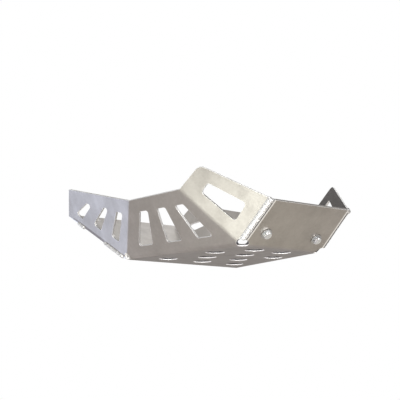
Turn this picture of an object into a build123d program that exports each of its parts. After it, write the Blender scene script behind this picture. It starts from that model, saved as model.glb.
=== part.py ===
from build123d import *
import math
import os

# Driving dimensions, millimetres and degrees.
# All panel outlines are given on the outer faces, at the sharp corners the folds would have.
sheet = 4.0
overall_width = 361.53
bottom_length = 272.0
front_half_width = 90.0
front_angle = 40.5
front_length = 99.0
front_top_half_width = 86.3
rear_angle = 27.3
rear_length = 236.5
side_angle = 57.9

# Corners of the middle side panel: distance rearwards along its lower fold, then up the panel.
middle_top_rear = (207.7, 110.2)
middle_top_front = (83.7, 113.4)
# Upper corner of the front flap: distance up its fold, then forwards across the flap.
flap_top = (136.5, 57.9)
flap_corner_radius = 15.0
# Upper rear corner of the rear side panel: distance from the end of its welded edge, then up the panel.
rear_panel_setback = 13.0
rear_panel_height = 63.2
rear_corner_radius = 3.0

# Outer radii of the folds.
floor_front_radius = 18.0
floor_rear_radius = 14.0
floor_side_radius = 14.0
flap_fold_radius = 36.0
rear_fold_radius = 14.0

# Round reliefs where the folds meet.
front_relief_radius = 12.0
rear_relief_radius = 7.5
rear_relief_rise = 7.0

# Drain holes in the bottom plate: rows counted from the front.
drain_diameter = 33.0
drain_first_row = 37.0
drain_row_pitch = 60.5
drain_first_pitch = 62.0
drain_pitch_growth = 5.6
drain_rows = (2, 3, 2, 3)

# Fan of slots in the middle panel.
middle_slot_centre = 141.0
middle_slot_top_pitch = 42.2
middle_slot_foot_pitch = 71.6
middle_slot_top_width = 20.0
middle_slot_foot_width = 35.2
middle_slot_top = 86.8
middle_slot_foot = 23.0
slot_corner_radius = 4.0

# Slots of the rear side panel, four corners each in the panel's own coordinates.
rear_slots = (
    ((25.5, 87.5), (2.5, 92.5), (25.2, 26.8), (52.8, 26.6)),
    ((76.2, 77.5), (58.5, 81.5), (95.3, 22.6), (125.2, 24.2)),
    ((149.2, 59.5), (126.0, 64.5), (172.4, 17.8), (199.8, 19.8)),
)

# Window of the front flap, in the flap's own coordinates.
flap_window = ((107.5, 44.0), (107.5, 22.8), (33.5, 24.8), (35.8, 62.4))
window_corner_radius = 5.5

# Weld beads.
seam_lip = 1.4
seam_lip_overlap = 8.0
seam_bead_radius = 4.7
seam_bead_depth = 2.1
seam_bead_offset = 6.2
seam_bead_start = 9.0
seam_bead_stop = 5.5
seam_blob_radius = 4.4
seam_blob_offset = 3.6
seam_blob_drop = 4.4
seam_blob_height = 0.0
rear_bead_radius = 3.4
rear_bead_depth = 1.2
rear_bead_runs = ((15.0, 82.0), (170.0, 192.0))

# Front bolts, washers and the mounting holes.
bolt_half_spacing = 57.0
bolt_height = 29.8
bolt_diameter = 8.0
bolt_length = 20.0
bolt_neck_diameter = 7.2
bolt_neck_past = 1.0
bolt_tip_chamfer = 0.8
bolt_head_width = 13.0
bolt_head_height = 5.3
bolt_crown_spread = 22.2
bolt_crown_top = 12.35
bolt_hole_diameter = 9.0
washer_diameter = 20.0
washer_hole_diameter = 8.4
washer_thickness = 1.6
rear_hole_half_spacing = 75.0
rear_hole_margin = 18.5

# Lengths of the working blocks and cutters, all well past the part.
reach = 900.0
outer_reach = 420.0
trim_reach = 600.0
trim_depth = 12.0
cut_depth = 15.0

slope = math.radians(front_angle)
climb_angle = math.radians(side_angle)
tail = math.radians(rear_angle)
front_reach = front_length * math.cos(slope)
rear_reach = bottom_length + rear_length * math.cos(tail)
x_front = (rear_reach - front_reach) / 2
x_rear = x_front - bottom_length

# The sides flare rearwards until the top rear corners of the middle panels make up the whole width.
corner_lean = middle_top_rear[1] * math.cos(climb_angle)
flare = math.asin(
    (overall_width / 2 - front_half_width) / math.hypot(middle_top_rear[0], corner_lean)
) - math.atan2(corner_lean, middle_top_rear[0])
rear_half_width = front_half_width + bottom_length * math.tan(flare)
rear_panel_top = (rear_length - rear_panel_setback, rear_panel_height)
rear_hole_height = rear_length - rear_hole_margin

# Corner points of the right-hand half, on the outer faces.
up = Vector(0, 0, 1)
corner_front = Vector(x_front, -front_half_width, 0)
corner_rear = Vector(x_rear, -rear_half_width, 0)
front_up = Vector(math.cos(slope), 0, math.sin(slope))
rear_up = Vector(-math.cos(tail), 0, math.sin(tail))
front_top = Vector(x_front, -front_top_half_width, 0) + front_up * front_length
rear_end = corner_rear + rear_up * rear_length
along = (corner_rear - corner_front).normalized()
outward = Vector(-along.Y, along.X, 0)
climb = outward * math.cos(climb_angle) + up * math.sin(climb_angle)
middle_rear = corner_front + along * middle_top_rear[0] + climb * middle_top_rear[1]
middle_front = corner_front + along * middle_top_front[0] + climb * middle_top_front[1]
flap_axis = (middle_front - corner_front).normalized()
rear_axis = (middle_rear - corner_rear).normalized()


# Panel planes of the right-hand half: local x and y lie in the outer face, z points inwards.
middle_plane = Plane(origin=corner_front, x_dir=along, z_dir=along.cross(climb))
flap_plane = Plane(origin=corner_front, x_dir=flap_axis, z_dir=flap_axis.cross(front_top - corner_front))
rear_side_plane = Plane(origin=corner_rear, x_dir=rear_up, z_dir=rear_up.cross(rear_axis))
front_plane = Plane(
    origin=(x_front, 0, 0), x_dir=(0, -1, 0), z_dir=(-math.sin(slope), 0, math.cos(slope))
)
rear_plane = Plane(origin=(x_rear, 0, 0), x_dir=(0, 1, 0), z_dir=(math.sin(tail), 0, math.cos(tail)))
floor_plane = Plane(origin=(x_front, 0, 0), x_dir=(1, 0, 0), z_dir=(0, 0, 1))


def local(plane, point):
    offset = point - plane.origin
    return (offset.dot(plane.x_dir), offset.dot(plane.y_dir))


def outline(points):
    return make_face(Polyline(*points, close=True))


def rounded_outline(points, radius):
    face = outline(points)
    return fillet(face.vertices(), radius)


def rounded_corner(points, index, radius):
    face = outline(points)
    corner = points[index]
    nearest = face.vertices().sort_by_distance((corner[0], corner[1], 0))[0]
    return fillet(nearest, radius)


def through(plane, face, depth=cut_depth):
    lower = plane.offset(-depth)
    return extrude(lower * face, amount=2 * depth)


def unit_across(direction, axis):
    return (direction - axis * direction.dot(axis)).normalized()


# The space inside one fold, moved inwards by inset, with a sharp corner where no radius is given.
def fold_block(point, axis, arm_one, arm_two, inset, radius=None):
    middle = (arm_one + arm_two).normalized()
    half = math.radians(arm_one.get_angle(arm_two)) / 2
    corner = point + middle * (inset / math.sin(half))
    section = Plane(origin=corner, x_dir=arm_one, z_dir=axis)
    ends = (
        Vector(0, 0, 0),
        arm_one * reach,
        arm_one * reach + middle * reach,
        arm_two * reach + middle * reach,
        arm_two * reach,
    )
    points = [(end.dot(section.x_dir), end.dot(section.y_dir)) for end in ends]
    face = rounded_corner(points, 0, radius - inset) if radius else outline(points)
    return extrude(section * face, amount=reach, both=True)


# Bottom, front and rear plates with their two folds, as one long block across the machine.
def keel_block(inset, length):
    front_shift = inset * math.tan(slope / 2)
    rear_shift = inset * math.tan(tail / 2)
    points = [
        (x_front - front_shift + length * math.cos(slope), inset + length * math.sin(slope)),
        (x_front - front_shift, inset),
        (x_rear + rear_shift, inset),
        (x_rear + rear_shift - length * math.cos(tail), inset + length * math.sin(tail)),
    ]
    face = outline(points)
    for index, radius in ((1, floor_front_radius), (2, floor_rear_radius)):
        spot = (points[index][0], points[index][1], 0)
        nearest = face.vertices().sort_by_distance(spot)[0]
        face = fillet(nearest, radius - inset)
    section = Plane(origin=(0, 0, 0), x_dir=(1, 0, 0), z_dir=(0, -1, 0))
    return extrude(section * face, amount=reach / 2, both=True)


# The convex block bounded by every panel, each moved inwards by inset.
def tray_block(inset, length):
    block = keel_block(inset, length)
    folds = (
        (corner_front, along, climb, outward * -1, floor_side_radius),
        (
            corner_front,
            flap_axis,
            unit_across(along, flap_axis),
            unit_across(front_top - corner_front, flap_axis),
            flap_fold_radius,
        ),
        (
            corner_rear,
            rear_axis,
            unit_across(along * -1, rear_axis),
            unit_across(rear_up, rear_axis),
            rear_fold_radius,
        ),
    )
    for point, axis, arm_one, arm_two, radius in folds:
        fold = fold_block(point, axis, arm_one, arm_two, inset, radius)
        block = block & fold
        block = block & mirror(fold, about=Plane.XZ)
    return block


# What lies beyond the cut edges of each panel of the right-hand half.
def edge_cutters():
    cutters = []
    far = trim_reach
    rear_foot = local(middle_plane, middle_rear)
    front_foot = local(middle_plane, middle_front)
    rear_run = rear_axis.dot(middle_plane.x_dir) / rear_axis.dot(middle_plane.y_dir)
    front_run = flap_axis.dot(middle_plane.x_dir) / flap_axis.dot(middle_plane.y_dir)
    # The two fold lines of the middle panel run together above it.
    width = rear_foot[0] + rear_run * (front_foot[1] - rear_foot[1]) - front_foot[0]
    rise = width / (front_run - rear_run)
    apex = (front_foot[0] + front_run * rise, front_foot[1] + rise)
    middle_face = outline([rear_foot, front_foot, apex])
    cutters.append(through(middle_plane, middle_face))

    flap_end = local(flap_plane, middle_front)
    flap_seam = local(flap_plane, front_top)
    flap_keep = rounded_corner([(0, 0), flap_end, flap_top, flap_seam], 2, flap_corner_radius)
    flap_beyond = outline(
        [flap_end, (far, 0), (far, far), (flap_seam[0], far), flap_seam]
    )
    cutters.append(through(flap_plane, flap_beyond - flap_keep, trim_depth))

    fold_top = local(rear_side_plane, middle_rear)
    lean = local(rear_side_plane, corner_rear + rear_axis * far)
    rear_keep = rounded_corner(
        [(0, 0), fold_top, rear_panel_top, (rear_length, 0)], 2, rear_corner_radius
    )
    rear_beyond = outline(
        [
            fold_top,
            (fold_top[0] + lean[0], fold_top[1] + lean[1]),
            (rear_length + far, fold_top[1] + lean[1]),
            (rear_length + far, 0),
            (rear_length, 0),
        ]
    )
    cutters.append(through(rear_side_plane, rear_beyond - rear_keep, trim_depth))
    return cutters


# Fan slots and window of the right-hand half.
def slot_cutters():
    cutters = []
    for place in (-1, 0, 1):
        top = middle_slot_centre + place * middle_slot_top_pitch
        foot = middle_slot_centre + place * middle_slot_foot_pitch
        points = (
            (top - middle_slot_top_width / 2, middle_slot_top),
            (top + middle_slot_top_width / 2, middle_slot_top),
            (foot + middle_slot_foot_width / 2, middle_slot_foot),
            (foot - middle_slot_foot_width / 2, middle_slot_foot),
        )
        cutters.append(through(middle_plane, rounded_outline(points, slot_corner_radius)))
    for points in rear_slots:
        cutters.append(through(rear_side_plane, rounded_outline(points, slot_corner_radius)))
    cutters.append(through(flap_plane, rounded_outline(flap_window, window_corner_radius)))
    return cutters


def rod(start, end, radius):
    direction = end - start
    return extrude(Plane(origin=start, z_dir=direction) * Circle(radius), amount=direction.length)


# What lies inside the two panels that meet at a welded seam, from the middle of the sheet inwards.
def seam_inside(point, axis, panel_edge):
    arm_one = unit_across(panel_edge, axis)
    arm_two = unit_across(Vector(0, 1, 0), axis)
    return fold_block(point, axis, arm_one, arm_two, sheet / 2)


# Lip of the front plate on the right-hand seam.
def seam_lip_piece():
    seam_top = local(front_plane, front_top)
    seam_foot = local(front_plane, corner_front)
    points = (
        (seam_foot[0] - seam_lip_overlap, seam_foot[1]),
        (seam_foot[0] + seam_lip, seam_foot[1]),
        (seam_top[0] + seam_lip, seam_top[1]),
        (seam_top[0] - seam_lip_overlap, seam_top[1]),
    )
    return extrude(front_plane * outline(points), amount=sheet)


# Bead behind the lip, with a blob where it ends at the upper corner.
def seam_bead():
    inwards = flap_plane.z_dir
    direction = (front_top - corner_front).normalized()
    line = corner_front + flap_axis * seam_bead_offset + inwards * seam_bead_depth
    start = line + direction * seam_bead_start
    end = line + direction * (front_length - seam_bead_stop)
    bead = rod(start, end, seam_bead_radius) + Pos(*end) * Sphere(seam_bead_radius)
    blob_centre = front_top + flap_axis * seam_blob_offset - inwards * seam_blob_height
    blob = Pos(*(blob_centre - direction * seam_blob_drop)) * Sphere(seam_blob_radius)
    return bead + blob - seam_inside(corner_front, direction, flap_axis)


# Stitch welds along the edge where the rear side panel meets the rear plate.
def rear_beads():
    beads = []
    bisector = (rear_side_plane.z_dir + rear_plane.z_dir).normalized()
    inside = seam_inside(corner_rear, rear_up, rear_axis)
    for first, last in rear_bead_runs:
        start = corner_rear + rear_up * first + bisector * rear_bead_depth
        end = corner_rear + rear_up * last + bisector * rear_bead_depth
        bead = rod(start, end, rear_bead_radius)
        bead += Pos(*start) * Sphere(rear_bead_radius)
        bead += Pos(*end) * Sphere(rear_bead_radius)
        beads.append(bead - inside)
    return beads


def both_sides(solids):
    return solids + [mirror(solid, about=Plane.XZ) for solid in solids]


def drain_cutters():
    cutters = []
    for row, count in enumerate(drain_rows):
        x = -drain_first_row - row * drain_row_pitch
        pitch = drain_first_pitch + row * drain_pitch_growth
        for column in range(count):
            y = (column - (count - 1) / 2) * pitch
            hole = Pos(x, y) * Circle(drain_diameter / 2)
            cutters.append(through(floor_plane, hole))
    return cutters


def mount_cutters():
    cutters = []
    for side in (-1, 1):
        front_hole = Pos(side * bolt_half_spacing, bolt_height) * Circle(bolt_hole_diameter / 2)
        cutters.append(through(front_plane, front_hole))
        rear_hole = Pos(side * rear_hole_half_spacing, rear_hole_height) * Circle(bolt_hole_diameter / 2)
        cutters.append(through(rear_plane, rear_hole))
    return cutters


def relief_cutters():
    rear_centre = corner_rear + rear_axis * rear_relief_rise
    return [
        Pos(*corner_front) * Sphere(front_relief_radius),
        Pos(*rear_centre) * Sphere(rear_relief_radius),
    ]


# What lies past the free edge of the front or the rear plate.
def end_trim(plane, length):
    half = trim_reach / 2
    return through(plane, outline([(-half, length), (half, length), (half, reach), (-half, reach)]))


def make_plate():
    plate = tray_block(0.0, outer_reach) - tray_block(sheet, reach)
    trims = [end_trim(front_plane, front_length), end_trim(rear_plane, rear_length)]
    plate = plate - trims - both_sides(edge_cutters())
    plate = plate + both_sides([seam_lip_piece()]) + both_sides([seam_bead()] + rear_beads())
    plate = plate - both_sides(relief_cutters()) - both_sides(slot_cutters())
    plate = plate - drain_cutters() - mount_cutters()
    return plate


# Outer face of the front plate at one bolt, z pointing outwards.
def bolt_frame(side):
    origin = front_plane.from_local_coords((side * bolt_half_spacing, bolt_height, 0))
    return Plane(origin=origin, x_dir=front_plane.x_dir, z_dir=front_plane.z_dir * -1)


def make_bolt(side):
    frame = bolt_frame(side)
    seat = frame.offset(washer_thickness)
    hexagon = RegularPolygon(bolt_head_width / 2, 6, major_radius=False)
    head = extrude(seat * hexagon, amount=bolt_head_height)
    crown = Cone(
        bolt_crown_spread / 2,
        bolt_crown_top / 2,
        bolt_head_height,
        align=(Align.CENTER, Align.CENTER, Align.MIN),
    )
    head = head & (seat * crown)
    neck_length = washer_thickness + sheet + bolt_neck_past
    neck = extrude(seat * Circle(bolt_neck_diameter / 2), amount=-neck_length)
    thread_start = seat.offset(-neck_length)
    thread = extrude(thread_start * Circle(bolt_diameter / 2), amount=neck_length - bolt_length)
    bolt = head + neck + thread
    tip = bolt.faces().sort_by(Axis(frame.origin, frame.z_dir))[0]
    return chamfer(tip.edges(), bolt_tip_chamfer)


def make_washer(side):
    frame = bolt_frame(side)
    ring = Circle(washer_diameter / 2) - Circle(washer_hole_diameter / 2)
    return extrude(frame * ring, amount=washer_thickness)


plate = make_plate()
bolts = [make_bolt(side) for side in (-1, 1)]
washers = [make_washer(side) for side in (-1, 1)]

os.makedirs("parts", exist_ok=True)
export_step(plate, "parts/skid_plate.step")
export_step(Compound(children=bolts), "parts/front_bolts.step")
export_step(Compound(children=washers), "parts/front_washers.step")
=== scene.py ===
import bpy
import bmesh
import math
from mathutils import Matrix, Vector
from mathutils.bvhtree import BVHTree


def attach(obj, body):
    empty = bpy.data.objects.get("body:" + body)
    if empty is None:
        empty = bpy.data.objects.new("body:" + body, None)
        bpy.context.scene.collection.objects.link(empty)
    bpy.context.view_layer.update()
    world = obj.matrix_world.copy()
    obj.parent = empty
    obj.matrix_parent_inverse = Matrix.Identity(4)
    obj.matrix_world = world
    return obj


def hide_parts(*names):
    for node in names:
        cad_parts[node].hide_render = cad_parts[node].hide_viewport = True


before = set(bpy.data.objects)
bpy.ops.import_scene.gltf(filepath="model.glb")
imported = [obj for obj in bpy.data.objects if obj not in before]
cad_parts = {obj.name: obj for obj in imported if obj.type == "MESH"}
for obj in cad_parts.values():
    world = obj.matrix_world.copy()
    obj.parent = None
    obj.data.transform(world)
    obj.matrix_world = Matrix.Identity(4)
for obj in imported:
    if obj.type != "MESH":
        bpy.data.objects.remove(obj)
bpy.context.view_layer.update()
scene = bpy.context.scene
print("frame loaded:", sorted(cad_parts))


# One socket of a node tree. Arithmetic on it adds Math nodes, and make() adds any other node.
class Wire:
    def __init__(self, tree, socket=None):
        self.tree = tree
        self.socket = socket

    def make(self, kind, settings=None, inputs=None, out=0):
        node = self.tree.nodes.new(kind)
        for name, value in (settings or {}).items():
            setattr(node, name, value)
        for name, value in (inputs or {}).items():
            self.feed(node.inputs[name], value)
        return Wire(self.tree, node.outputs[out]) if len(node.outputs) else None

    def feed(self, target, value):
        if isinstance(value, Wire):
            self.tree.links.new(value.socket, target)
        else:
            target.default_value = value

    def other(self, name):  # another output of the same node
        return Wire(self.tree, self.socket.node.outputs[name])

    def sums(self, operation, *values):
        return self.make("ShaderNodeMath", {"operation": operation}, dict(enumerate(values)))

    def __add__(self, value):
        return self.sums("ADD", self, value)

    def __sub__(self, value):
        return self.sums("SUBTRACT", self, value)

    def __rsub__(self, value):
        return self.sums("SUBTRACT", value, self)

    def __mul__(self, value):
        return self.sums("MULTIPLY", self, value)

    __radd__ = __add__
    __rmul__ = __mul__

    def vectors(self, operation, *values, out=0):
        return self.make("ShaderNodeVectorMath", {"operation": operation}, dict(enumerate(values)), out)

    def scaled(self, vector, factor):
        return self.make("ShaderNodeVectorMath", {"operation": "SCALE"}, {0: vector, "Scale": factor})

    def joined(self, **axes):
        return self.make("ShaderNodeCombineXYZ", None, axes)

    def split(self, vector, out="X"):
        return self.make("ShaderNodeSeparateXYZ", None, {"Vector": vector}, out)

    def within(self, low, high):  # 0 at low, 1 at high, held between them
        inputs = {"Value": self, "From Min": low, "From Max": high}
        return self.make("ShaderNodeMapRange", {"clamp": True}, inputs)

    def swing(self, amount):  # a noise as a push up or down from its middle
        return (self - 0.5) * amount

    def place(self):
        return self.make("ShaderNodeTexCoord", out="Object")

    def noise(self, coords, scale, detail=3.0, rough=0.55):
        inputs = {"Vector": coords, "Scale": scale, "Detail": detail, "Roughness": rough}
        return self.make("ShaderNodeTexNoise", None, inputs)

    def stretched(self, coords, scale, turn=(0, 0, 0)):
        angles = tuple(math.radians(a) for a in turn)
        return self.make("ShaderNodeMapping", None, {"Vector": coords, "Scale": scale, "Rotation": angles})

    def blend(self, factor, first, second):  # 6, 7 and 2 are the colour sockets of the Mix node
        inputs = {"Factor": factor, 6: first, 7: second}
        return self.make("ShaderNodeMix", {"data_type": "RGBA"}, inputs, out=2)

    def bumped(self, height, strength, depth):
        inputs = {"Strength": strength, "Distance": depth, "Height": height}
        return self.make("ShaderNodeBump", None, inputs)


# Lines that the welds follow, worked out from the plate's own corners. Metres and degrees.
foldLines = {
    "frontFoldX": 0.203439, "frontHalf": 0.0900, "frontTopHalf": 0.0863, "frontLength": 0.0990,
    "rearFoldX": -0.068561, "rearHalf": 0.1337,
    "frontSlope": 40.5, "tailSlope": 27.3, "sideSlope": 57.9,
    "flapFoldTop": (0.0837, 0.1134), "tailFoldTop": (0.2077, 0.1102),  # along and up the middle panel
}


def cornerLines(fold):
    slope, tail, side = (math.radians(fold[k]) for k in ("frontSlope", "tailSlope", "sideSlope"))
    front = Vector((fold["frontFoldX"], -fold["frontHalf"], 0))
    rear = Vector((fold["rearFoldX"], -fold["rearHalf"], 0))
    frontUp = Vector((math.cos(slope), 0, math.sin(slope)))
    tailUp = Vector((-math.cos(tail), 0, math.sin(tail)))
    along = (rear - front).normalized()
    outward = Vector((-along.y, along.x, 0))
    climb = outward * math.cos(side) + Vector((0, 0, math.sin(side)))
    top = Vector((fold["frontFoldX"], -fold["frontTopHalf"], 0)) + frontUp * fold["frontLength"]
    flapAxis = (along * fold["flapFoldTop"][0] + climb * fold["flapFoldTop"][1]).normalized()
    tailTop = front + along * fold["tailFoldTop"][0] + climb * fold["tailFoldTop"][1]
    tailAxis = (tailTop - rear).normalized()
    seamUp = (top - front).normalized()
    flapOut = seamUp.cross(flapAxis).normalized()
    tailSideOut = tailAxis.cross(tailUp).normalized()
    tailUnderOut = Vector((-math.sin(tail), 0, -math.cos(tail)))
    tailOut = (tailSideOut + tailUnderOut).normalized()
    return front, top, frontUp, seamUp, flapAxis, flapOut, rear, tailUp, tailAxis, tailOut


(
    frontCorner, frontTop, frontUp, seamUp, flapAxis,
    flapOut, rearCorner, tailUp, tailAxis, tailOut,
) = cornerLines(foldLines)

# Weld runs of the right-hand side. Each pass of the torch leaves one flattened, leaning scale.
seamWeld = {
    "inset": 0.0062, "lift": -0.0003, "runs": ((0.0115, 0.0955),),
    "core": (0.0021, 0.0047),  # depth and radius of the solid bead under the scales
    "toe": 0.0046, "sootAndShade": (0.0041, 0.0050), "faint": 0.8,  # the painted shade and soot are this much fainter on the inner side
    "sizes": {
        "Pitch": 0.0031, "Across": 0.0045, "Along": 0.0034, "Height": 0.0033, "Lean": 0.22,
        "Smallest": 0.90, "Largest": 1.07, "Seed": 4,
    },
}
tailWeld = {
    "inset": 0.0, "lift": -0.0009, "runs": ((0.0155, 0.0815), (0.1705, 0.1915)),
    "core": (0.0012, 0.0034),
    "toe": 0.0038, "sootAndShade": (0.0030, 0.0038), "faint": 0.0,
    "sizes": {
        "Pitch": 0.0026, "Across": 0.0037, "Along": 0.0026, "Height": 0.0036, "Lean": 0.32,
        "Smallest": 0.90, "Largest": 1.07, "Seed": 9,
    },
}


def weldRuns(weld, foot, inwards, upwards, outside):
    origin = foot + inwards * weld["inset"] + outside * weld["lift"]
    return [(origin + upwards * a, origin + upwards * b) for a, b in weld["runs"]]


seamRuns = weldRuns(seamWeld, frontCorner, flapAxis, seamUp, flapOut)
tailRuns = weldRuns(tailWeld, rearCorner, tailAxis, tailUp, tailOut)


def newMaterial(name):
    material = bpy.data.materials.new(name)
    material.use_nodes = True
    material.node_tree.nodes.clear()
    return material, Wire(material.node_tree)


def closeMaterial(w, inputs):
    shader = w.make("ShaderNodeBsdfPrincipled", None, inputs)
    w.make("ShaderNodeOutputMaterial", None, {"Surface": shader})


# Painted shade: a dark line in the crease beside each weld, the same on both sides of the plate.
toeShade = {
    "colour": (0.15, 0.145, 0.15, 1), "width": 0.0012, "sideEdge": 0.001,
    "sheet": 0.62, "cut": 0.25,  # its strength on the sheet and on cut edges
}


def lineDistance(w, place, start, end):  # from a line or its mirror image, with the way from its start
    parts = w.split(place)
    beside = w.sums("ABSOLUTE", parts.other("Y")) * -1.0
    spot = w.joined(X=parts, Y=beside, Z=parts.other("Z"))
    way = (end - start).normalized()
    away = w.vectors("SUBTRACT", spot, start)
    reached = w.vectors("DOT_PRODUCT", away, way, out="Value")
    reached = w.make("ShaderNodeClamp", None, {"Value": reached, "Min": 0.0, "Max": (end - start).length})
    return w.vectors("DISTANCE", away, w.scaled(way, reached), out="Value"), away


def weldMask(w, place, limits, operation):  # one mask over all the runs of weld
    edge = toeShade["sideEdge"]
    whole = None
    for weld, runs, inwards in ((seamWeld, seamRuns, flapAxis), (tailWeld, tailRuns, tailAxis)):
        for start, end in runs:
            apart, away = lineDistance(w, place, start, end)
            inner = w.vectors("DOT_PRODUCT", away, inwards, out="Value").within(-edge, edge)
            mask = apart.within(*limits(weld)) * (1 - inner * weld["faint"])
            whole = w.sums(operation, whole, mask) if whole else mask
    return whole


def makeToeShade(w, place):
    return weldMask(w, place, lambda weld: (weld["toe"] + toeShade["width"], weld["toe"]), "MAXIMUM")


def makeToeSootAndShade(w, place):  # soot with painted shade, growing towards the rim of the weld itself
    return weldMask(w, place, lambda weld: weld["sootAndShade"], "MINIMUM")


# Rolled sheet: fine lines along the machine, soft clouding, brighter arrises that are partly wear and
# partly painted highlight.
sheetFinish = {
    "colour": (0.468, 0.441, 0.412, 1), "cloud": (0.360, 0.336, 0.310, 1), "wornGlint": (0.92, 0.915, 0.90, 1),
    "cloudSize": 16.0, "mottleSize": 260.0, "grainSize": 1400.0, "lineScale": (28.0, 900.0, 900.0),
    "streakScale": (60.0, 60.0, 7.0), "streakTurn": (0, 24, 0),
    "cloudMix": (0.60, 0.20, 0.20), "cloudRange": (0.36, 0.64),  # shares of clouds, streaks and mottle
    "arris": 0.0013, "arrisSamples": 6, "arrisRange": (0.02, 0.16), "wearAndGlint": 0.95,
    "roughness": 0.36, "roughSwing": (0.16, 0.10, 0.08), "wornGloss": 0.10,  # by clouds, lines and streaks
    "heightMix": (0.6, 0.4), "bump": 0.10, "bumpDepth": 0.0004,  # shares of lines and grain
}
# Lines along the joints: a painted highlight strip on the dressed edge of the front panel with a thin
# painted shade line at its outermost edge, and painted shade in patches along the tail's lower edge.
jointLines = {
    "dressedHighlight": (0.0050, 0.0042), "dressedHighlightColour": (0.98, 0.975, 0.96, 1),
    "dark": (0.0018, 0.0013), "darkness": 0.9,
    "tailLength": 0.2080, "tailDark": (0.0070, 0.0060), "tailPatches": (0.35, 0.5), "tailDarkness": 0.8,
    "tailShadeColour": (0.15, 0.125, 0.11, 1),
}


def makeSheetFinish():
    finish = sheetFinish
    material, w = newMaterial("rolledSheet")
    place = w.place()
    clouds = w.noise(place, finish["cloudSize"], detail=5.0, rough=0.6)
    lines = w.noise(w.stretched(place, finish["lineScale"]), 1.0, detail=2.0, rough=0.5)
    grain = w.noise(place, finish["grainSize"], detail=2.0, rough=0.5)
    streaks = w.noise(w.stretched(place, finish["streakScale"], finish["streakTurn"]), 1.0, rough=0.6)
    mottle = w.noise(place, finish["mottleSize"], detail=2.0, rough=0.6)
    cloudShare, streakShare, mottleShare = finish["cloudMix"]
    mixed = clouds * cloudShare + streaks * streakShare + mottle * mottleShare
    rounded = w.make("ShaderNodeBevel", {"samples": finish["arrisSamples"]}, {"Radius": finish["arris"]})
    facing = w.make("ShaderNodeNewGeometry", out="Normal")
    arris = (1 - w.vectors("DOT_PRODUCT", rounded, facing, out="Value")).within(*finish["arrisRange"])
    base = w.blend(mixed.within(*finish["cloudRange"]), finish["colour"], finish["cloud"])
    # Partly wear, partly a painted highlight on the rounded arrises.
    base = w.blend(arris * finish["wearAndGlint"], base, finish["wornGlint"])
    seam = lineDistance(w, place, frontCorner, frontTop)[0]
    # Painted highlight: a bright strip along the front panel's edge by the seam.
    base = w.blend(seam.within(*jointLines["dressedHighlight"]), base, jointLines["dressedHighlightColour"])
    # Painted shade in the crease beside each weld.
    base = w.blend(makeToeShade(w, place) * toeShade["sheet"], base, toeShade["colour"])
    # Painted shade: a thin dark line at the front panel's outermost edge by the seam.
    base = w.blend(seam.within(*jointLines["dark"]) * jointLines["darkness"], base, toeShade["colour"])
    # Painted shade along the tail's lower edge, in patches.
    tail = lineDistance(w, place, rearCorner, rearCorner + tailUp * jointLines["tailLength"])[0]
    tailShadeMask = tail.within(*jointLines["tailDark"]) * clouds.within(*jointLines["tailPatches"])
    base = w.blend(tailShadeMask * jointLines["tailDarkness"], base, jointLines["tailShadeColour"])
    byCloud, byLine, byStreak = finish["roughSwing"]
    rough = finish["roughness"] + clouds.swing(byCloud) + lines.swing(byLine) + streaks.swing(byStreak)
    rough = rough - arris * finish["wornGloss"]
    lineShare, grainShare = finish["heightMix"]
    bump = w.bumped(lines * lineShare + grain * grainShare, finish["bump"], finish["bumpDepth"])
    closeMaterial(w, {"Base Color": base, "Metallic": 1.0, "Roughness": rough, "Normal": bump})
    return material


# Laser-cut edges: brighter than the sheet, with fine ticks.
# The drain holes and the front reliefs are matt, with a dark line of painted shade along their inner rim.
cutFinish = {
    "colour": (0.86, 0.855, 0.845, 1), "dull": (0.74, 0.73, 0.72, 1),
    "patchSize": 60.0, "patches": (0.4, 0.65), "metallic": 1.0,
    "roughness": 0.54, "tickSize": 700.0, "roughSwing": 0.2, "bump": 0.15, "bumpDepth": 0.0003,
}
drainFinish = dict(
    cutFinish, colour=(0.95, 0.94, 0.95, 1), holeShade=(0.030, 0.026, 0.032, 1), holeShadeHeights=(0.0014, 0.0017),
    metallic=0.15, roughness=0.70,
)
reliefFinish = dict(drainFinish, holeShadeHeights=(0.0020, 0.0025))


def makeCutFinish(name, finish):
    material, w = newMaterial(name)
    place = w.place()
    if "holeShade" in finish:
        # Painted shade: darker towards the inner side of the sheet, inside the holes.
        shadedRim = w.split(place, "Z").within(*finish["holeShadeHeights"])
        base = w.blend(shadedRim, finish["colour"], finish["holeShade"])
    else:
        patches = w.noise(place, finish["patchSize"], rough=0.6)
        base = w.blend(patches.within(*finish["patches"]), finish["colour"], finish["dull"])
        # The painted shade beside the welds reaches the cut edges too.
        base = w.blend(makeToeShade(w, place) * toeShade["cut"], base, toeShade["colour"])
    ticks = w.noise(place, finish["tickSize"], detail=2.0, rough=0.5)
    rough = finish["roughness"] + ticks.swing(finish["roughSwing"])
    bump = w.bumped(ticks, finish["bump"], finish["bumpDepth"])
    metallic = finish["metallic"]
    closeMaterial(w, {"Base Color": base, "Metallic": metallic, "Roughness": rough, "Normal": bump})
    return material


# Weld metal: bright ripples, a little soot in patches, and soot with painted shade along the rim.
weldFinish = {
    "colour": (0.86, 0.855, 0.84, 1), "soot": (0.42, 0.41, 0.395, 1),
    "sootSize": 240.0, "sootRange": (0.5, 0.75), "sootDepth": 0.7, "toeSootAndShade": 0.25,
    "roughness": 0.34, "sootRough": 0.2, "fineSize": 1500.0, "fineSwing": 0.1,
    "bump": 0.12, "bumpDepth": 0.0003,
}


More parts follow.
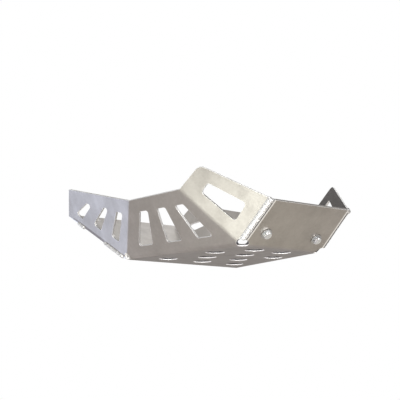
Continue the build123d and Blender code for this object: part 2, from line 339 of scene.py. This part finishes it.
def makeWeldFinish():
    finish = weldFinish
    material, w = newMaterial("weldMetal")
    place = w.place()
    soot = w.noise(place, finish["sootSize"], detail=4.0, rough=0.65).within(*finish["sootRange"])
    fine = w.noise(place, finish["fineSize"], detail=2.0, rough=0.5)
    base = w.blend(soot * finish["sootDepth"], finish["colour"], finish["soot"])
    # Soot with painted shade at the weld's rim.
    base = w.blend(makeToeSootAndShade(w, place) * finish["toeSootAndShade"], base, toeShade["colour"])
    rough = finish["roughness"] + soot * finish["sootRough"] + fine.swing(finish["fineSwing"])
    bump = w.bumped(fine, finish["bump"], finish["bumpDepth"])
    closeMaterial(w, {"Base Color": base, "Metallic": 1.0, "Roughness": rough, "Normal": bump})
    return material


# Zinc plating: cool and glossy on the bolts, duller on the washers, with a faint cloudy passivation.
boltFinish = {
    "colour": (0.88, 0.89, 0.90, 1), "cloud": (0.62, 0.64, 0.67, 1),
    "cloudSize": 210.0, "clouds": (0.35, 0.65),
    "roughness": 0.15, "cloudSwing": 0.18, "speckSize": 1800.0, "speckSwing": 0.06,
    "bump": 0.08, "bumpDepth": 0.0002,
}
washerFinish = dict(boltFinish, colour=(0.50, 0.50, 0.49, 1), cloud=(0.40, 0.40, 0.40, 1), roughness=0.30)


def makeZincFinish(name, finish):
    material, w = newMaterial(name)
    place = w.place()
    clouds = w.noise(place, finish["cloudSize"], detail=4.0, rough=0.6)
    specks = w.noise(place, finish["speckSize"], detail=2.0, rough=0.5)
    base = w.blend(clouds.within(*finish["clouds"]), finish["colour"], finish["cloud"])
    rough = finish["roughness"] + clouds.swing(finish["cloudSwing"]) + specks.swing(finish["speckSwing"])
    bump = w.bumped(specks, finish["bump"], finish["bumpDepth"])
    closeMaterial(w, {"Base Color": base, "Metallic": 1.0, "Roughness": rough, "Normal": bump})
    return material


weldMetal = makeWeldFinish()
plateFinishes = {
    "sheet": makeSheetFinish(),
    "cut": makeCutFinish("cutEdge", cutFinish),
    "weld": weldMetal,
    "drain": makeCutFinish("drainEdge", drainFinish),
    "relief": makeCutFinish("reliefEdge", reliefFinish),
}
zincPlating = makeZincFinish("zincPlating", boltFinish)
washerPlating = makeZincFinish("washerPlating", washerFinish)
print("finishes made")


def addObject(name, mesh):
    piece = bpy.data.objects.new(name, mesh)
    scene.collection.objects.link(piece)
    return piece


def meshFrom(name, bm, sharp=None):  # with an angle, faces are smooth and steeper edges stay sharp
    for face in bm.faces:
        face.smooth = sharp is not None
    mesh = bpy.data.meshes.new(name)
    bm.to_mesh(mesh)
    bm.free()
    if sharp is not None:
        mesh.set_sharp_from_angle(angle=math.radians(sharp))
    return mesh


def settle(piece):  # the evaluated result becomes the piece's own plain mesh
    bpy.context.view_layer.update()
    graph = bpy.context.evaluated_depsgraph_get()
    mesh = bpy.data.meshes.new_from_object(piece.evaluated_get(graph))
    piece.modifiers.clear()
    piece.data = mesh
    mesh.name = piece.name
    return piece


def shape(name, tree, values):  # a Geometry Nodes tree with a named input for each value
    group = bpy.data.node_groups.new(name, "GeometryNodeTree")
    group.interface.new_socket("Geometry", in_out="INPUT", socket_type="NodeSocketGeometry")
    group.interface.new_socket("Geometry", in_out="OUTPUT", socket_type="NodeSocketGeometry")
    kinds = {float: "NodeSocketFloat", int: "NodeSocketInt", tuple: "NodeSocketVector"}
    for label, value in values.items():
        kind = kinds.get(type(value), "NodeSocketMaterial")
        group.interface.new_socket(label, in_out="INPUT", socket_type=kind)
    given = group.nodes.new("NodeGroupInput")
    result = group.nodes.new("NodeGroupOutput")
    wires = Wire(group)
    made = tree(wires, {s.name: Wire(group, s) for s in given.outputs if s.name})
    wires.feed(result.inputs["Geometry"], made)
    return group


def grow(piece, group, values):
    modifier = piece.modifiers.new("shape", "NODES")
    modifier.node_group = group
    for item in group.interface.items_tree:
        if item.in_out == "INPUT" and item.name in values:
            modifier[item.identifier] = values[item.name]
    return settle(piece)


def turnedBy(w, rotation, **angles):  # one more turn, about the instance's own axes
    turn = w.make("FunctionNodeEulerToRotation", None, {"Euler": w.joined(**angles)})
    inputs = {"Rotation": rotation, "Rotate By": turn}
    return w.make("FunctionNodeRotateRotation", {"rotation_space": "LOCAL"}, inputs)


# The folded plate: the CAD solid with rounded arrises and its cut edges and welds told apart.
plateShape = {
    "merge": 0.000002, "flat": 0.3, "arris": 0.00035, "segments": 2, "sharp": 25.0,
    "busyReach": 0.016,  # arrises stay as they are this near the busiest corners
    "smooth": 48.0, "weight": 80,
}
plateForms = {
    "near": 0.00005, "sag": 0.0012,  # how closely a face keeps to a ball or a rod
    "frontRelief": 0.0120, "rearRelief": 0.0075, "rearRise": 0.0070,
    "blobInset": 0.0036, "blobDrop": 0.0044, "blobRadius": 0.0044,  # the end of the seam weld
    "upright": 0.2, "floorTop": 0.0045, "lip": 0.995,
    "skin": 0.00001, "castReach": 0.05, "endOn": 0.0060,  # deeper metal is seen end on, at a cut edge
}


def mirrored(point):  # the same spot on the right-hand side
    return Vector((point.x, -abs(point.y), point.z))


def faceKind(face, tree):
    form = plateForms
    centre = face.calc_center_median()
    points = [mirrored(v.co) for v in face.verts] + [mirrored(centre)]

    def follows(distances, radius):  # the corners lie on the form, and the middle hardly leaves it
        *corners, middle = distances
        exact = all(abs(d - radius) < form["near"] for d in corners)
        return exact and abs(middle - radius) < form["sag"]

    def onBall(core, radius):
        return follows([(p - core).length for p in points], radius)

    if onBall(frontCorner, form["frontRelief"]):
        return "relief"
    if onBall(rearCorner + tailAxis * form["rearRise"], form["rearRelief"]):
        return "cut"
    if onBall(frontTop + flapAxis * form["blobInset"] - seamUp * form["blobDrop"], form["blobRadius"]):
        return "weld"
    for weld, foot, way, outside in (
        (seamWeld, frontCorner + flapAxis * seamWeld["inset"], seamUp, flapOut),
        (tailWeld, rearCorner, tailUp, tailOut),
    ):
        depth, radius = weld["core"]
        core = foot - outside * depth
        fromCore = [(p - core).cross(way).length for p in points]
        if follows(fromCore, radius) or max(fromCore) < radius + form["near"]:
            return "weld"
    if abs(face.normal.z) < form["upright"] and max(p.z for p in points) < form["floorTop"]:
        return "drain"
    if face.normal.dot(frontUp) > form["lip"]:  # the front panel's upper edge is as satin as the sheet
        return "sheet"
    inside = centre - face.normal * form["skin"]
    depth = tree.ray_cast(inside, -face.normal, form["castReach"])[3]
    return "cut" if depth is None or depth > form["endOn"] else "sheet"


def makePlate():
    kinds = list(plateFinishes)
    bm = bmesh.new()
    bm.from_mesh(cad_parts["skid_plate"].data)
    bmesh.ops.remove_doubles(bm, verts=bm.verts, dist=plateShape["merge"])
    tree = BVHTree.FromBMesh(bm)
    for face in bm.faces:
        face.material_index = kinds.index(faceKind(face, tree))
    bmesh.ops.dissolve_limit(
        bm, angle_limit=math.radians(plateShape["flat"]),
        verts=bm.verts, edges=bm.edges, delimit={"MATERIAL"},
    )
    sharp = []
    for edge in bm.edges:
        middle = mirrored((edge.verts[0].co + edge.verts[1].co) / 2)
        busy = min((middle - spot).length for spot in (frontTop, rearCorner)) < plateShape["busyReach"]
        if edge.calc_face_angle(0) > math.radians(plateShape["sharp"]) and not busy:
            sharp.append(edge)
    bmesh.ops.bevel(
        bm, geom=sharp, offset=plateShape["arris"], offset_type="OFFSET", segments=plateShape["segments"],
        profile=0.5, affect="EDGES", clamp_overlap=False, loop_slide=True, material=kinds.index("cut"),
    )
    piece = addObject("plateSheet", meshFrom("plateSheet", bm, plateShape["smooth"]))
    for finish in plateFinishes.values():
        piece.data.materials.append(finish)
    weighted = piece.modifiers.new("normals", "WEIGHTED_NORMAL")
    weighted.keep_sharp = True
    weighted.weight = plateShape["weight"]
    return settle(piece)


plate = makePlate()
print("plate:", len(plate.data.polygons), "faces")


def rippleTree(w, given):  # one scale for each step along the weld's lines
    line = w.make("GeometryNodeMeshToCurve", None, {"Mesh": given["Geometry"]})
    spaced = w.make(
        "GeometryNodeResampleCurve", {"mode": "LENGTH"}, {"Curve": line, "Length": given["Pitch"]},
    )
    tangent = w.make("GeometryNodeInputTangent")
    outside = w.make("GeometryNodeInputNamedAttribute", {"data_type": "FLOAT_VECTOR"}, {"Name": "outside"})
    upright = w.make(
        "FunctionNodeAlignRotationToVector", {"axis": "Z"}, {"Factor": 1.0, "Vector": outside},
    )
    turned = w.make(
        "FunctionNodeAlignRotationToVector", {"axis": "X", "pivot_axis": "Z"},
        {"Rotation": upright, "Factor": 1.0, "Vector": tangent},
    )
    leaning = turnedBy(w, turned, Y=given["Lean"])
    uneven = w.make(  # 2, 3 and 1 are the sockets for plain numbers
        "FunctionNodeRandomValue", {"data_type": "FLOAT"},
        {2: given["Smallest"], 3: given["Largest"], "Seed": given["Seed"]}, out=1,
    )
    size = w.scaled(w.joined(X=given["Along"], Y=given["Across"], Z=given["Height"]), uneven)
    ball = w.make("GeometryNodeMeshIcoSphere", None, {"Radius": 1.0, "Subdivisions": 3})
    spot = w.split(w.make("GeometryNodeInputPosition"))
    side = spot.other("Y")
    wide = side * (1.5 - side * side * 0.5)  # flatter on top, steeper at the toes
    flattened = w.joined(X=spot, Y=wide, Z=spot.other("Z"))
    scale = w.make("GeometryNodeSetPosition", None, {"Geometry": ball, "Position": flattened})
    scales = w.make(
        "GeometryNodeInstanceOnPoints", None,
        {"Points": spaced, "Instance": scale, "Rotation": leaning, "Scale": size},
    )
    whole = w.make("GeometryNodeRealizeInstances", None, {"Geometry": scales})
    smooth = w.make("GeometryNodeSetShadeSmooth", None, {"Geometry": whole})
    return w.make("GeometryNodeSetMaterial", None, {"Geometry": smooth, "Material": given["Finish"]})


def weldLines(name, runs, outside):  # the lines on both sides of the plate, with the way that is outside
    points, edges, ways = [], [], []
    for side in (1, -1):
        for start, end in runs:
            edges.append((len(points), len(points) + 1))
            for point in (start, end):
                points.append((point.x, point.y * side, point.z))
                ways += [outside.x, outside.y * side, outside.z]
    mesh = bpy.data.meshes.new(name)
    mesh.from_pydata(points, edges, [])
    mesh.attributes.new("outside", "FLOAT_VECTOR", "POINT").data.foreach_set("vector", ways)
    return addObject(name, mesh)


def makeWeld(name, runs, outside, sizes):
    values = dict(sizes, Finish=weldMetal)
    return grow(weldLines(name, runs, outside), shape(name + "Shape", rippleTree, values), values)


seamRipples = makeWeld("seamRipples", seamRuns, flapOut, seamWeld["sizes"])
tailRipples = makeWeld("tailRipples", tailRuns, tailOut, tailWeld["sizes"])
print("welds:", len(seamRipples.data.polygons) + len(tailRipples.data.polygons), "faces")

# Hex bolts: curved crown, washer face, dished top and a cut thread. Local z points out of the plate.
boltShape = {
    "across": 0.0130, "head": 0.0053, "seat": 0.0016, "crownTop": 0.01235, "crownSpread": 0.0222,
    "rim": 0.86, "dishFoot": 0.70, "dishCentre": 0.02, "dish": 0.00035, "dishFall": 1.2,
    "collar": 0.96, "collarHeight": 0.0003, "hexFoot": 0.0004,
    "neck": 0.0072, "neckEnd": -0.0050, "tip": -0.0184, "tipWidth": 0.0062,
    "thread": 0.0080, "root": 0.0066, "pitch": 0.00125, "flank": 1.15, "steps": 8,  # steps in each pitch
    "lead": 0.0008, "runOut": 0.0004, "sides": 48, "twist": 13.0,
}
washerShape = {"outer": 0.0100, "inner": 0.0042, "thick": 0.0016, "edge": 0.00025, "bend": 0.3, "sides": 72}
fastenerPlace = {"Foot": (0.226099, 0.0, 0.019353), "Spacing": 0.1140, "Tilt": math.radians(139.5)}
ringFinish = {"smooth": 35.0, "merge": 0.0000001}


def ringMesh(name, rings, capped):  # joins rings of points, all with the same count
    bm = bmesh.new()
    loops = [[bm.verts.new(p) for p in ring] for ring in rings]
    count = len(loops[0])
    for lower, upper in zip(loops, loops[1:]):
        for i in range(count):
            j = (i + 1) % count
            bm.faces.new((lower[i], lower[j], upper[j], upper[i]))
    if capped:
        bm.faces.new(list(reversed(loops[0])))
        bm.faces.new(loops[-1])
    bmesh.ops.remove_doubles(bm, verts=bm.verts, dist=ringFinish["merge"])  # closes a round profile
    bmesh.ops.recalc_face_normals(bm, faces=bm.faces)
    return meshFrom(name, bm, ringFinish["smooth"])


def boltRings(bolt):
    turns = [2 * math.pi * i / bolt["sides"] for i in range(bolt["sides"])]
    foot, top = bolt["seat"], bolt["seat"] + bolt["head"]
    flat, crown, spread = (bolt[k] / 2 for k in ("across", "crownTop", "crownSpread"))
    root, thread, neck = (bolt[k] / 2 for k in ("root", "thread", "neck"))

    def ring(radiusAt, heightAt):
        return [(radiusAt(t) * math.cos(t), radiusAt(t) * math.sin(t), heightAt(t)) for t in turns]

    def circle(radius, z):
        return ring(lambda t: radius, lambda t: z)

    def hexRadius(t):
        return flat / math.cos(t % (math.pi / 3) - math.pi / 6)

    def crownHeight(t):  # the crown cuts the corners lower than the flats
        return top - (hexRadius(t) - crown) / (spread - crown) * bolt["head"]

    def threadRing(z, fade):  # one turn of the helix for each pitch
        def radiusAt(t):
            phase = (z / bolt["pitch"] - t / (2 * math.pi)) % 1.0
            ridge = min(1.0, (1 - abs(2 * phase - 1)) * bolt["flank"])
            return root + (thread - root) * ridge * fade

        return ring(radiusAt, lambda t: z)

    low, high = bolt["tip"] + bolt["lead"], bolt["neckEnd"]
    steps = int((high - low) / bolt["pitch"] * bolt["steps"])
    rings = [circle(bolt["tipWidth"] / 2, bolt["tip"]), circle(root, low - bolt["runOut"])]
    for k in range(steps + 1):
        fade = min(1.0, k / bolt["steps"], (steps - k) / bolt["steps"])
        rings.append(threadRing(low + (high - low) * k / steps, fade))
    return rings + [
        circle(neck, high + bolt["runOut"]),
        circle(neck, foot),
        circle(flat * bolt["collar"], foot),
        circle(flat * bolt["collar"], foot + bolt["collarHeight"]),
        ring(hexRadius, lambda t: foot + bolt["hexFoot"]),
        ring(hexRadius, crownHeight),
        circle(crown, top),
        circle(crown * bolt["rim"], top),
        circle(crown * bolt["dishFoot"], top - bolt["dish"]),
        circle(crown * bolt["dishCentre"], top - bolt["dish"] * bolt["dishFall"]),
    ]


def washerRings(washer):
    inner, outer, thick, edge = (washer[k] for k in ("inner", "outer", "thick", "edge"))
    bend = edge * washer["bend"]
    profile = [
        (inner, edge), (inner + bend, bend), (inner + edge, 0),
        (outer - edge, 0), (outer - bend, bend), (outer, edge),
        (outer, thick - edge), (outer - bend, thick - bend), (outer - edge, thick),
        (inner + edge, thick), (inner + bend, thick - bend), (inner, thick - edge), (inner, edge),
    ]
    turns = [2 * math.pi * i / washer["sides"] for i in range(washer["sides"])]
    return [[(r * math.cos(a), r * math.sin(a), z) for a in turns] for r, z in profile]


def pairTree(w, given):  # the same fastener on both sides of the front plate
    step = w.scaled((0.0, 1.0, 0.0), given["Spacing"])
    first = w.vectors("ADD", given["Foot"], w.scaled(step, -0.5))
    points = w.make(
        "GeometryNodeMeshLine", {"mode": "OFFSET"}, {"Count": 2, "Start Location": first, "Offset": step},
    )
    lean = w.make("FunctionNodeEulerToRotation", None, {"Euler": w.joined(Y=given["Tilt"])})
    twist = given["Twist"] * (w.make("GeometryNodeInputIndex") * 2 - 1)  # the two turn opposite ways
    pair = w.make(
        "GeometryNodeInstanceOnPoints", None,
        {"Points": points, "Instance": given["Geometry"], "Rotation": turnedBy(w, lean, Z=twist)},
    )
    whole = w.make("GeometryNodeRealizeInstances", None, {"Geometry": pair})
    return w.make("GeometryNodeSetMaterial", None, {"Geometry": whole, "Material": given["Finish"]})


def makePair(name, mesh, twist, finish):
    values = dict(fastenerPlace, Twist=math.radians(twist), Finish=finish)
    return grow(addObject(name, mesh), shape(name + "Pair", pairTree, values), values)


boltMesh = ringMesh("hexBolt", boltRings(boltShape), capped=True)
washerMesh = ringMesh("flatWasher", washerRings(washerShape), capped=False)
hexBolts = makePair("hexBolts", boltMesh, boltShape["twist"], zincPlating)
flatWashers = makePair("flatWashers", washerMesh, 0.0, washerPlating)
print("fasteners:", len(hexBolts.data.polygons) + len(flatWashers.data.polygons), "faces")

for piece, slot, nodes in (
    (plate, "aluminium_sheet", ["skid_plate"]),
    (seamRipples, "aluminium_sheet", []),
    (tailRipples, "aluminium_sheet", []),
    (hexBolts, "zinc_steel", ["front_bolts"]),
    (flatWashers, "zinc_steel", ["front_washers"]),
):
    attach(piece, "root")
    if nodes:
        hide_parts(*nodes)
print("pieces ride on the frame")

# Studio: a pale floor well below the plate, white surroundings and soft lamps.
studio = {
    "floorLevel": -0.62, "floorReach": 2.2, "floorSides": 96, "floorRoughness": 0.7,
    "floorColour": (0.84, 0.82, 0.81, 1), "floorCloud": (0.80, 0.78, 0.77, 1),
    "floorPatchSize": 3.0, "floorPatches": (0.35, 0.65),
    "surround": (1.0, 1.0, 1.0, 1), "fill": (0.60, 0.575, 0.57, 1),
    "ceiling": (0.08, 0.08, 0.085, 1), "rise": (0.62, 0.80),  # mirrored in the metal, above this height
    "ground": (0.15, 0.14, 0.14, 1), "sink": (-0.03, -0.12),  # mirrored beyond the floor
    "flagWay": (-0.949, -0.100, 0.300), "flagEdge": (0.868, 0.93),  # dark screen behind the tail
}
# A lamp with no aim is a card just above the floor, facing up.
lamps = {
    "keyAbove": {
        "at": (0.9, -1.3, 1.7), "aim": (0.0, 0.0, 0.05), "size": (1.3, 1.3),
        "colour": (1.0, 0.98, 0.95), "watts": 14.0,
    },
    "overhead": {
        "at": (-0.57, 0.93, 1.41), "aim": (0.15, -0.05, 0.08), "size": (0.6, 0.6),
        "colour": (1.0, 0.99, 0.97), "watts": 3.0,
    },
    "frontSide": {
        "at": (2.0, 0.45, 0.20), "aim": (0.15, 0.0, 0.04), "size": (0.7, 0.7),
        "colour": (1.0, 0.99, 0.98), "watts": 5.0,
    },
    "tailCard": {
        "at": (-1.35, -0.57, -0.12), "aim": (-0.20, -0.15, 0.10), "size": (0.7, 0.7),
        "colour": (0.74, 0.81, 1.0), "watts": 2.5,
    },
    "lensSide": {  # a grid keeps this lamp off the floor
        "at": (1.70, -1.30, -0.37), "aim": (0.07, 0.0, 0.0), "size": (1.4, 0.42),
        "colour": (1.0, 0.98, 0.97), "watts": 1.8, "spread": 40.0,
    },
    "seamCard": {
        "at": (0.30, -0.30, -0.58), "size": (0.35, 0.35), "colour": (1.0, 0.98, 0.96), "watts": 0.4,
    },
    "flapCard": {
        "at": (0.24, -1.16, -0.58), "size": (0.8, 1.0), "colour": (0.95, 1.0, 0.93), "watts": 6.8,
    },
    "noseCard": {
        "at": (0.28, 0.42, -0.58), "size": (0.66, 0.70), "colour": (1.0, 0.98, 0.35), "watts": 0.13,
    },
}


def makeFloor():
    bm = bmesh.new()
    bmesh.ops.create_circle(
        bm, cap_ends=True, segments=studio["floorSides"], radius=studio["floorReach"],
        matrix=Matrix.Translation((0, 0, studio["floorLevel"])),
    )
    mesh = meshFrom("floor", bm)
    material, w = newMaterial("floorPaint")
    patches = w.noise(w.place(), studio["floorPatchSize"], detail=4.0, rough=0.5)
    base = w.blend(patches.within(*studio["floorPatches"]), studio["floorColour"], studio["floorCloud"])
    closeMaterial(w, {"Base Color": base, "Roughness": studio["floorRoughness"]})
    mesh.materials.append(material)
    floor = addObject("floor", mesh)


def makeSurround():
    world = bpy.data.worlds.new("studio")
    scene.world = world
    world.use_nodes = True
    world.node_tree.nodes.clear()
    w = Wire(world.node_tree)
    path = w.make("ShaderNodeLightPath", out="Is Camera Ray")
    glossy = path.other("Is Glossy Ray")
    seen = (path + glossy + path.other("Is Transmission Ray")).within(0, 1)
    way = w.make("ShaderNodeTexCoord", out="Generated")
    height = w.split(way, "Z")
    flag = w.vectors("DOT_PRODUCT", way, studio["flagWay"], out="Value").within(*studio["flagEdge"])
    dark = w.sums("MAXIMUM", height.within(*studio["rise"]), flag)
    colour = w.blend(dark * glossy, studio["surround"], studio["ceiling"])
    colour = w.blend(height.within(*studio["sink"]) * glossy, colour, studio["ground"])
    shown = w.make("ShaderNodeBackground", None, {"Color": colour, "Strength": 1.0})
    fill = w.make("ShaderNodeBackground", None, {"Color": studio["fill"], "Strength": 1.0})
    mixed = w.make("ShaderNodeMixShader", None, {0: seen, 1: fill, 2: shown})
    w.make("ShaderNodeOutputWorld", None, {"Surface": mixed})


def makeLamp(name, lamp):
    light = bpy.data.lights.new(name, "AREA")
    light.shape = "RECTANGLE"
    light.size, light.size_y = lamp["size"]
    light.energy = lamp["watts"]
    light.color = lamp["colour"]
    light.spread = math.radians(lamp.get("spread", 180.0))  # a lamp without a grid is wide open
    holder = addObject(name, light)
    holder.location = lamp["at"]
    way = Vector(lamp["aim"]) - Vector(lamp["at"]) if "aim" in lamp else Vector((0, 0, 1))
    holder.rotation_euler = way.to_track_quat("-Z", "Y").to_euler()
    holder.visible_camera = False


makeFloor()
makeSurround()
for name, lamp in lamps.items():
    makeLamp(name, lamp)
print("studio ready")

# The photograph's viewpoint: low, ahead of the plate and to its right. Pixels is the focal length in them.
viewpoint = {
    "eye": (1.33994, -1.07389, -0.19528), "azimuth": 51.707, "elevation": -10.234, "roll": -0.577,
    "pixels": 929.95, "frame": 400.0, "sensor": 36.0,
}


def makeCamera():
    a, e, r = (math.radians(viewpoint[k]) for k in ("azimuth", "elevation", "roll"))
    back = Vector((math.sin(a) * math.cos(e), -math.cos(a) * math.cos(e), math.sin(e)))
    right = Vector((0, 0, 1)).cross(back).normalized()
    above = back.cross(right)
    right, above = right * math.cos(r) + above * math.sin(r), above * math.cos(r) - right * math.sin(r)
    data = bpy.data.cameras.new("camera")
    data.sensor_width = viewpoint["sensor"]
    data.lens = viewpoint["pixels"] * viewpoint["sensor"] / viewpoint["frame"]
    camera = addObject("camera", data)
    turn = Matrix((right, above, back)).transposed().to_4x4()
    camera.matrix_world = Matrix.Translation(viewpoint["eye"]) @ turn
    scene.camera = camera


makeCamera()
scene.view_settings.view_transform = "Standard"
print("camera set")
